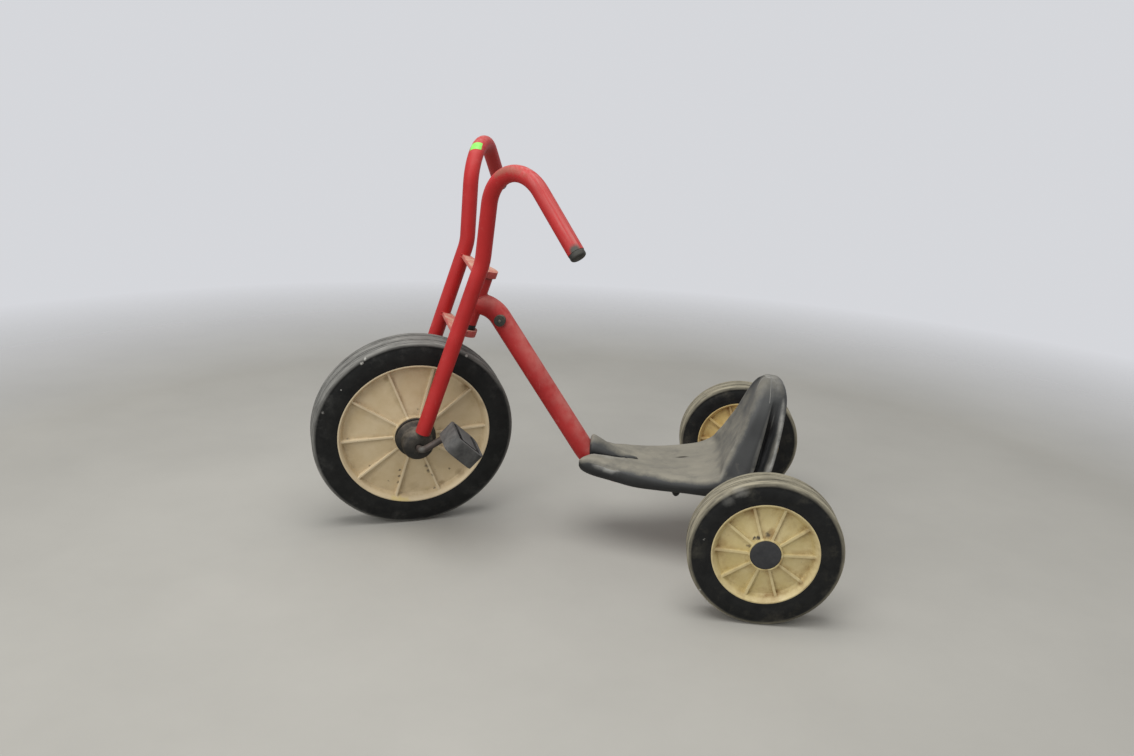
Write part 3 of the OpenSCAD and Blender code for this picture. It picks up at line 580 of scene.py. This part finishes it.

# moulded seat: tan dust on the pan, dark flanks, pale edges that are partly wear and partly a painted highlight, and
# painted shade in its hollows
seatLook = {"deep": (0.006, 0.0065, 0.007), "mid": (0.017, 0.018, 0.018), "dust": (0.240, 0.224, 0.180),
            "filmColour": (0.100, 0.102, 0.098), "film": 0.45, "worn": (0.29, 0.285, 0.26), "edge": (0.45, 1.05),
            "topFrom": 0.25, "topTo": 0.36, "streak": (0.26, 0.26, 0.25), "hollow": (0.42, 0.62),
            "topBand": 0.06, "finFrom": -0.352, "finTo": -0.362, "scratch": (0.24, 0.235, 0.215),
            "cutPixel": (682, 457), "cutSize": 15, "cutTurn": 12, "cutColour": (0.018, 0.014, 0.012)}
seatShape = {
    "nose": -28.8,  # along the part, in mm
    "crown": ((0, 0, 0), (13, 3, -3), (27, 4.5, -6), (48, 4.5, -8), (61, 4.5, -8.5), (79, 6.5, -4), (100, 4, -1),
              (130, 1.5, 0), (160, 0, 0)),  # behind the nose, lift inside the lobes and outside them
    "crownHalf": (32, 48),  # half widths inside the lobes and outside them
    "crownFrom": 140,  # lowest height that is moved
    "slot": ((138, -285, -305, 0, 0), (147, -293, -314.5, 16, 3), (155, -299, -332, 26, 7), (160, -304, -342.3, 30, 9),
             (174, -324.2, -347.6, 32, 10), (203, -335.6, -356.5, 34, 8), (233, -344.8, -362.8, 28, 5),
             (268, -353, -368.4, 13, 2), (298, -358.4, -371, 0, 0)),  # height, front, lip, depth, shift of the front
    "slotHalf": 20,  # the slots are farther out than this
    "slotEase": (1.3, 0.8),  # how far the shift reaches ahead and behind, in widths of the slot
    "slotSpan": (0.1, 1.5),  # where it is opened, in widths of the slot
    "fold": ((-308, -232), 72, 222),  # along, half width and top of what is smoothed under the backrest
    "foldSteps": 16,
    "hood": ((16.5, 172, 16.5, 16), (17.2, 172, 19.5, 19.2), (18.6, 172, 21.5, 21.6), (20.6, 172, 22.6, 22.9),
             (23.2, 172, 23, 23.3), (30, 169.5, 22.6, 22), (39, 166.5, 21.5, 20.1), (48, 163, 20, 18.5),
             (60, 159, 17.2, 16.2), (73, 155, 13.5, 13.6), (85, 152, 9.5, 12), (95, 150.5, 5.5, 10.6),
             (103, 149, 2, 9.5)),  # behind the nose, middle height, half width, half height
}


def seatFinish():
    finish, shader = newFinish("seatMoulding", 0.6)
    place = objectPlace(finish)
    mottle = fade(finish, noiseOf(finish, place, 18, 6, 0.6), 0.3, 0.72)
    colour = tint(finish, mottle, seatLook["deep"], seatLook["mid"])
    level = axisOf(finish, objectNormal(finish), "Z")
    cloudy = fade(finish, noiseOf(finish, stretched(finish, place, (0.5, 1, 0.5)), 26, 6), 0.25, 0.65)
    film = both(finish, fade(finish, level, -0.1, 0.5), spread(finish, cloudy, 0, 1, 0.5, 1.0), seatLook["film"])
    colour = tint(finish, film, colour, seatLook["filmColour"])
    patchy = spread(finish, noiseOf(finish, stretched(finish, place, (0.6, 1, 1)), 22, 7, 0.6), 0.25, 0.6, 0.55, 1.0)
    forward = calc(finish, "MAXIMUM", axisOf(finish, objectNormal(finish), "X"), 0.0)
    lean = calc(finish, "ADD", level, both(finish, forward, 0.42))
    uneven = spread(finish, noiseOf(finish, place, 30, 6, 0.65), 0.3, 0.7, -0.18, 0.18)
    lean = calc(finish, "ADD", lean, uneven)
    height = axisOf(finish, place, "Z")
    lower = spread(finish, height, seatLook["topFrom"], seatLook["topTo"], 1.0, 0.2)
    settled = both(finish, fade(finish, lean, 0.52, 1.0), patchy, lower)
    colour = tint(finish, settled, colour, seatLook["dust"])
    top = fade(finish, height, seatLook["topTo"] - seatLook["topBand"], seatLook["topTo"])
    streak = fade(finish, noiseOf(finish, stretched(finish, place, (70, 70, 7)), 1.0, 6, 0.7), 0.42, 0.66)
    rear = spread(finish, axisOf(finish, place, "X"), seatLook["finFrom"], seatLook["finTo"], 0.35, 0.95)
    colour = tint(finish, both(finish, top, streak, rear), colour, seatLook["streak"])
    # pale on the sharp edges: wear, and a painted highlight where the edges catch the light
    worn = fade(finish, attributeOf(finish, "edge"), *seatLook["edge"])
    rubbed = spread(finish, noiseOf(finish, place, 60, 5), 0.35, 0.6, 0.25, 0.75)
    colour = tint(finish, both(finish, worn, rubbed), colour, seatLook["worn"])
    scratch = fade(finish, noiseOf(finish, stretched(finish, place, (0.3, 1, 1)), 160, 5, 0.7), 0.67, 0.72)
    colour = tint(finish, both(finish, scratch, 0.3), colour, seatLook["scratch"])
    # painted shade in the seat's hollows and slots
    colour = tint(finish, fade(finish, attributeOf(finish, "hollow"), *seatLook["hollow"]), colour, seatLook["deep"])
    cutPlace = hitOn("seat", seatLook["cutPixel"])[0]
    thin = placedAt(finish, cutPlace, (0, 0, math.radians(seatLook["cutTurn"])), (1, 0.28, 1))
    gouge = spot(finish, thin, (0, 0, 0), seatLook["cutSize"])
    colour = tint(finish, gouge, colour, seatLook["cutColour"])
    join(finish, colour, shader.inputs["Base Color"])
    join(finish, fade(finish, settled, -1.2, 0.9), shader.inputs["Roughness"])
    grain = calc(finish, "ADD", noiseOf(finish, place, 900, 2), both(finish, noiseOf(finish, place, 120, 4), 0.6))
    bumpOf(finish, shader, grain, 0.22, 0.0006)
    shader.inputs["Specular IOR Level"].default_value = 0.4
    return finish


def between(rows, at):
    for low, high in zip(rows, rows[1:]):
        if at <= high[0]:
            share = max(0.0, (at - low[0]) / (high[0] - low[0]))
            return [a + (b - a) * share for a, b in zip(low[1:], high[1:])]
    return rows[-1][1:]


# crowns the lobes behind the nose, moves the front of the slots back and opens them as far as a thin lip,
# and softens the fold under the backrest
def shapeSeat(bm):
    bm.normal_update()
    inner, outer = seatShape["crownHalf"]
    ahead, past = seatShape["slotEase"]
    least, most = seatShape["slotSpan"]
    for vert in bm.verts:
        x, y, z = vert.co / mm
        behind = seatShape["nose"] - x
        share = min(1.0, max(0.0, (outer - abs(y)) / (outer - inner)))
        upward = min(1.0, max(0.0, vert.normal.z * 2 + 0.1))
        if 0 < behind < seatShape["crown"][-1][0] and z > seatShape["crownFrom"]:
            lifts = between(seatShape["crown"], behind)
            vert.co.z += (lifts[1] + (lifts[0] - lifts[1]) * share * share * (3 - 2 * share)) * upward * mm
        front, lip, deep, shift = between(seatShape["slot"], z)
        inside = (front - x) / (front - lip)
        if abs(y) > seatShape["slotHalf"] and -ahead < inside < past:
            away = -inside / ahead if inside < 0 else inside / past
            x -= shift * (1 - away * away) ** 2
            vert.co.x = x * mm
        front -= shift
        inside = (front - x) / (front - lip)
        if abs(y) > seatShape["slotHalf"] and abs(vert.normal.y) > 0.2 and least < inside < most:
            vert.co.y -= math.copysign(deep * 0.9 * min(1.0, (most - inside) * 2.5), y) * mm
    along, half, top = seatShape["fold"]
    fold = [v for v in bm.verts if along[0] < v.co.x / mm < along[1] and abs(v.co.y) < half * mm and v.co.z < top * mm
            and max(v.normal.z, v.normal.x) > 0.3]
    for step in range(seatShape["foldSteps"]):
        bmesh.ops.smooth_vert(bm, verts=fold, factor=0.5, use_axis_x=True, use_axis_z=True)


# the hood that closes over the tube where it enters the seat
def addHood(bm):
    places = []
    for behind, height, wide, high in seatShape["hood"]:
        axes = Matrix(((0, 0, 1, seatShape["nose"] - behind), (wide, 0, 0, 0), (0, high, 0, height), (0, 0, 0, 1 / mm)))
        places.append(axes * mm)
    ring = bmesh.ops.create_circle(bm, cap_ends=True, segments=36, radius=1.0, matrix=places[0])["verts"]
    hood = set(ring)
    edges = list({e for v in ring for e in v.link_edges})
    for place, onward in zip(places, places[1:]):
        made = bmesh.ops.extrude_edge_only(bm, edges=edges)["geom"]
        moved = [g for g in made if isinstance(g, bmesh.types.BMVert)]
        bmesh.ops.transform(bm, matrix=onward @ place.inverted(), verts=moved)
        edges = [e for e in made if isinstance(e, bmesh.types.BMEdge) and set(e.verts) <= set(moved)]
        hood.update(moved)
    bmesh.ops.edgeloop_fill(bm, edges=edges)
    bmesh.ops.recalc_face_normals(bm, faces=list({f for v in hood for f in v.link_faces}))


def makeSeat():
    bm = copyOf("seat")
    shapeSeat(bm)
    addHood(bm)
    sharp = bm.verts.layers.float.new("edge")  # how far each corner stands out, in radians
    for vert in bm.verts:
        vert[sharp] = max(e.calc_face_angle_signed(0.0) for e in vert.link_edges)
    markHollowShade(bm, hollowReach["seat"])
    piece = finishPiece("seatShell", bm, seatFinish(), "frame", 60)
    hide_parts("seat")


makeSeat()
print("seat made")

# finishes on the nodes that keep their own shape, and softened copies of the rest
leftRed = paintFinish("leftForkRed", forkPaint, grips["left_grip"], "fork_tube_left")
rightRed = paintFinish("rightForkRed", forkPaint, grips["right_grip"])
frameRed = paintFinish("frameRed", framePaint)
plateRed = paintFinish("plateRed", platePaint)
keptNodes = {"fork_tube_left": leftRed, "fork_tube_right": rightRed, "main_tube": frameRed, "head_tube": frameRed,
             "rear_axle_tube": frameRed, "seat_lug_left": frameRed, "seat_lug_right": frameRed,
             "head_bush_upper": shadedBushRed, "head_bush_lower": hubBlack, "rear_axle": bareSteel,
             "steering_pin": bareSteel, "crank_axle": crankSteel}
softNodes = (
    ("stopBuffers", "steering_buffers", "frame", bufferBlack, "buffer_rubber", 1.6),
    ("upperPlate", "upper_plate", "fork", plateRed, "red_paint", 4.2),
    ("lowerPlate", "lower_plate", "fork", plateRed, "red_paint", 4.2),
    ("leftPedal", "pedal_left", "left_pedal", pedalGrey, "pedal_plastic", 1.0),
    ("rightPedal", "pedal_right", "right_pedal", pedalGrey, "pedal_plastic", 1.0),
    ("hubFlanges", "front_hub", "front_wheel", hubBlack, "black_plastic", 1.2),
    ("leftHousing", "bearing_housing_left", "fork", housingBlack, "black_plastic", 1.5),
    ("rightHousing", "bearing_housing_right", "fork", housingBlack, "black_plastic", 1.5),
    ("leftHubCap", "hub_cap_left", "left_rear_wheel", capBlack, "black_plastic", 1.2),
    ("rightHubCap", "hub_cap_right", "right_rear_wheel", capBlack, "black_plastic", 1.2),
    ("leftPlug", "grip_plug_left", "fork", plugBlack, "black_plastic", 0.6),
    ("rightPlug", "grip_plug_right", "fork", plugBlack, "black_plastic", 0.6),
)

for node, finish in keptNodes.items():
    nodes[node].data.materials.clear()
    nodes[node].data.materials.append(finish)
for name, node, body, finish, slotName, width in softNodes:
    dressNode(name, node, body, finish, width, 3)
print("nodes finished")

# weld beads, sizes in mm from the front axle and the foot of the steering line
weldLook = {"bead": 1.1, "ripple": 0.12, "step": 1.6, "halfSteps": 12,
            "legHalf": 64.5, "legRadius": 13.5, "plateTops": (217, 330),
            "webThick": 6, "sweep": 30, "headRadius": 17, "tubeRadius": 19, "jointHeight": 267, "steerMark": 250}


def beadAlong(name, points, body, finish, look):
    length = sum((b - a).length for a, b in zip(points, points[1:]))
    count = max(6, int(length / (look["step"] * mm)))
    curve = bpy.data.curves.new(name, "CURVE")
    curve.dimensions = "3D"
    curve.bevel_depth = look["bead"] * mm
    curve.bevel_resolution = 3
    curve.use_fill_caps = True
    spline = curve.splines.new("POLY")
    spline.points.add(count - 1)
    for i, point in enumerate(spline.points):
        along = i / (count - 1) * (len(points) - 1)
        low = min(int(along), len(points) - 2)
        point.co = (*points[low].lerp(points[low + 1], along - low), 1.0)
        point.radius = 1.0 + look["ripple"] * (1 if i % 2 else -1)
    holder = bpy.data.objects.new(name, curve)
    mesh = bpy.data.meshes.new_from_object(holder)
    bm = bmesh.new()
    bm.from_mesh(mesh)
    bpy.data.meshes.remove(mesh)
    bpy.data.objects.remove(holder)
    bmesh.ops.remove_doubles(bm, verts=bm.verts, dist=1e-6)
    bmesh.ops.recalc_face_normals(bm, faces=bm.faces)
    piece = finishPiece(name, bm, finish, body, 70)


def makeWelds():
    axle = Vector(joints["front_wheel_spin"]["pos_m"])
    side = Vector(joints["front_wheel_spin"]["axis"])
    up = Vector(joints["steer"]["axis"])
    ahead = side.cross(up)
    half = weldLook["halfSteps"]
    for tag, sign in (("Left", 1), ("Right", -1)):
        for level, top in zip(("lower", "upper"), weldLook["plateTops"]):
            for face, height in (("Top", top), ("Under", top - weldLook["webThick"])):
                points = []
                for step in range(2 * half + 1):
                    turn = math.radians(weldLook["sweep"] * (step / half - 1))
                    out = -side * sign * math.cos(turn) + ahead * math.sin(turn)
                    points.append(axle + (side * sign * weldLook["legHalf"] + out * weldLook["legRadius"]
                                          + up * height) * mm)
                beadAlong(level + "Weld" + face + tag, points, "fork", rightRed, weldLook)
    foot = Vector(joints["steer"]["pos_m"]) - up * weldLook["steerMark"] * mm
    cross = Vector((0, 1, 0))
    back = up.cross(cross)
    reach = weldLook["headRadius"] * 0.97
    for tag, sign in (("Top", 1), ("Under", -1)):
        points = []
        for step in range(2 * half + 1):
            y = reach * (step / half - 1)
            inward = math.sqrt(weldLook["headRadius"] ** 2 - y * y)
            rise = math.sqrt(weldLook["tubeRadius"] ** 2 - y * y)
            points.append(foot + (cross * y + back * inward + up * (weldLook["jointHeight"] + sign * rise)) * mm)
        beadAlong("headWeld" + tag, points, "frame", frameRed, weldLook)


makeWelds()
print("welds made")

# the mould's parting line over the top of the backrest
partingLook = {"pixels": ((771, 377.8), (769.5, 405)), "bead": 0.7, "ripple": 0.0, "step": 2.0}
partingGrey = darkFinish("partingGrey", (0.12, 0.12, 0.115), (0.20, 0.197, 0.185), (0.24, 0.235, 0.215), 0.6, 0.6, 90)


def makePartingLine():
    top, low = (hitOn("seat", pixel)[0] for pixel in partingLook["pixels"])
    down = low - top
    down.y = 0
    across = Vector((0, 1, 0))
    bm = copyOf("seat")
    cut = bmesh.ops.bisect_plane(bm, geom=bm.verts[:] + bm.edges[:] + bm.faces[:], dist=1e-6, plane_co=top,
                                 plane_no=down.cross(across).normalized())["geom_cut"]
    edges = [e for e in cut if isinstance(e, bmesh.types.BMEdge) and min(v.co.z for v in e.verts) > low.z]
    beside = {}
    for edge in edges:
        for vert in edge.verts:
            beside.setdefault(vert, []).append(edge.other_vert(vert))
    ends = sorted((v for v, near in beside.items() if len(near) == 1), key=lambda v: v.co.y)
    chain, last = [ends[0]], None
    while True:
        onward = [v for v in beside[chain[-1]] if v is not last]
        if not onward:
            break
        last = chain[-1]
        chain.append(onward[0])
    points = [v.co.copy() for v in chain]
    bm.free()
    beadAlong("partingLine", points, "frame", partingGrey, partingLook)


makePartingLine()
print("parting line made")

# screws in the buffers, and the bolts with domed caps that hold the seat on its lugs
screwLook = {"radius": 2.6, "height": 1.4, "steps": 28}
boltLook = {"head": 7.5, "height": 10.5, "washer": 9.0, "washerThick": 1.6, "inset": 10}


def spunPiece(name, profile, matrix, finish, body):
    bm = bmesh.new()
    line = [bm.verts.new((r * mm, 0, z * mm)) for r, z in profile]
    edges = [bm.edges.new(pair) for pair in zip(line, line[1:])]
    bmesh.ops.spin(bm, geom=line + edges, cent=(0, 0, 0), axis=(0, 0, 1), angle=2 * math.pi,
                   steps=screwLook["steps"], use_merge=True)
    bmesh.ops.remove_doubles(bm, verts=bm.verts, dist=1e-6)
    bmesh.ops.recalc_face_normals(bm, faces=bm.faces)
    bmesh.ops.transform(bm, matrix=matrix, verts=bm.verts)
    piece = finishPiece(name, bm, finish, body, 40)


def makeScrews():
    low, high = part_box("steering_buffers")
    middle = (low + high) / 2
    r, h = screwLook["radius"], screwLook["height"]
    dome = [(0, -0.5), (r, -0.5), (r, h * 0.3), (r * 0.86, h * 0.72), (r * 0.55, h), (r * 0.42, h),
            (r * 0.36, h * 0.55), (0, h * 0.5)]
    for tag, y, sign in (("Left", high.y, 1), ("Right", low.y, -1)):
        place = Matrix.Translation((middle.x, y, middle.z)) @ Matrix.Rotation(-sign * math.pi / 2, 4, "X")
        spunPiece("bufferScrew" + tag, dome, place, rustSteel, "frame")
    for tag, node, sign in (("Left", "seat_lug_left", 1), ("Right", "seat_lug_right", -1)):
        low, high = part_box(node)
        y = high.y - boltLook["inset"] * mm if sign > 0 else low.y + boltLook["inset"] * mm
        below = Matrix.Translation(((low.x + high.x) / 2, y, low.z)) @ Matrix.Rotation(math.pi, 4, "X")
        w, t = boltLook["washer"], boltLook["washerThick"]
        spunPiece("seatWasher" + tag, [(0, -0.4), (w - 0.4, -0.4), (w, 0), (w, t - 0.4), (w - 0.4, t), (0, t)], below,
                  bareSteel, "frame")
        head, rise = boltLook["head"], boltLook["height"]
        cap = [(0, t - 0.2), (head, t - 0.2), (head, t + rise * 0.22), (head * 0.86, t + rise * 0.5),
               (head * 0.6, t + rise * 0.8), (head * 0.35, t + rise * 0.95), (0, t + rise)]
        spunPiece("seatBoltCap" + tag, cap, below, hubBlack, "frame")


makeScrews()
print("screws made")

# a blank sticker on the right-hand tube
stickerLook = {"pixel": (476.2, 145.3), "size": (28, 18), "lift": 0.15, "thick": 0.1,
               "colour": (0.16, 0.60, 0.05), "worn": (0.28, 0.66, 0.16)}


def makeSticker():
    finish, shader = newFinish("greenPaper", 0.45)
    worn = fade(finish, noiseOf(finish, objectPlace(finish), 120, 5), 0.3, 0.75)
    join(finish, tint(finish, worn, stickerLook["colour"], stickerLook["worn"]), shader.inputs["Base Color"])
    place, normal = hitOn("fork_tube_right", stickerLook["pixel"])
    right = lookMatrix().col[0].to_3d()
    across = (right - normal * right.dot(normal)).normalized()
    turn = Matrix((across, normal.cross(across), normal)).transposed().to_4x4()
    bm = bmesh.new()
    bmesh.ops.create_grid(bm, x_segments=14, y_segments=10, size=0.5)
    wide, high = stickerLook["size"]
    bmesh.ops.scale(bm, vec=(wide * mm, high * mm, 1), verts=bm.verts)
    bmesh.ops.transform(bm, matrix=Matrix.Translation(place) @ turn, verts=bm.verts)
    for vert in bm.verts:
        near, outward = shellOf("fork_tube_right").find_nearest(vert.co)[:2]
        vert.co = near + outward * stickerLook["lift"] * mm
    bmesh.ops.solidify(bm, geom=bm.faces[:], thickness=stickerLook["thick"] * mm)
    bmesh.ops.recalc_face_normals(bm, faces=bm.faces)
    finishPiece("blankSticker", bm, finish, "fork")


makeSticker()
print("sticker made")

# plain pale floor that fades into the backdrop, and soft studio light
stageLook = {"floor": (0.34, 0.330, 0.300), "fadeFrom": 1.3, "fadeTo": 2.6, "half": 8.0, "patch": 1.12,
             "soft": 0.5, "backdrop": (0.67, 0.68, 0.71)}
lamps = (("overhead", (0.2, 0.6, 2.6), (0, 0, 0.2), 2.2, 55), ("front", (1.4, 2.6, 1.8), (0, 0, 0.3), 1.4, 30))


def makeFloor():
    finish, shader = newFinish("paleFloor", 0.8)
    place = objectPlace(finish)
    patch = fade(finish, noiseOf(finish, place, 2.2, 7, 0.6), 0.3, 0.7)
    colour = tint(finish, patch, stageLook["floor"], tuple(c * stageLook["patch"] for c in stageLook["floor"]))
    join(finish, colour, shader.inputs["Base Color"])
    away = put(finish, "ShaderNodeVectorMath", {0: place}, operation="LENGTH").outputs["Value"]
    clear = put(finish, "ShaderNodeBsdfTransparent", {})
    mixer = put(finish, "ShaderNodeMixShader", {0: fade(finish, away, stageLook["fadeFrom"], stageLook["fadeTo"])})
    join(finish, shader.outputs["BSDF"], mixer.inputs[1])
    join(finish, clear.outputs["BSDF"], mixer.inputs[2])
    join(finish, mixer.outputs["Shader"], finish.node_tree.nodes["Material Output"].inputs["Surface"])
    bm = bmesh.new()
    bmesh.ops.create_grid(bm, x_segments=1, y_segments=1, size=stageLook["half"])
    mesh = bpy.data.meshes.new("floor")
    bm.to_mesh(mesh)
    bm.free()
    mesh.materials.append(finish)
    floor = bpy.data.objects.new("floor", mesh)
    scene.collection.objects.link(floor)


def addLamp(name, place, aim, size, power):
    data = bpy.data.lights.new(name, "AREA")
    data.shape = "DISK"
    data.size = size
    data.energy = power
    lamp = bpy.data.objects.new(name, data)
    lamp.location = place
    lamp.rotation_euler = (Vector(aim) - Vector(place)).to_track_quat("-Z", "Y").to_euler()
    scene.collection.objects.link(lamp)


def lightWorld():
    world = bpy.data.worlds.new("studio")
    world.use_nodes = True
    scene.world = world
    tree = world.node_tree
    soft = tree.nodes["Background"]
    soft.inputs["Color"].default_value = (1.0, 1.0, 1.0, 1.0)
    soft.inputs["Strength"].default_value = stageLook["soft"]
    seen = tree.nodes.new("ShaderNodeBackground")
    seen.inputs["Color"].default_value = (*stageLook["backdrop"], 1.0)
    rays = tree.nodes.new("ShaderNodeLightPath")
    share = rays.outputs["Is Camera Ray"]
    for kind in ("Is Glossy Ray", "Is Transmission Ray"):
        either = tree.nodes.new("ShaderNodeMath")
        either.operation = "MAXIMUM"
        tree.links.new(share, either.inputs[0])
        tree.links.new(rays.outputs[kind], either.inputs[1])
        share = either.outputs[0]
    mixer = tree.nodes.new("ShaderNodeMixShader")
    tree.links.new(share, mixer.inputs[0])
    tree.links.new(soft.outputs[0], mixer.inputs[1])
    tree.links.new(seen.outputs[0], mixer.inputs[2])
    tree.links.new(mixer.outputs[0], tree.nodes["World Output"].inputs["Surface"])


makeFloor()
lightWorld()
for lamp in lamps:
    addLamp(*lamp)
print("stage set")
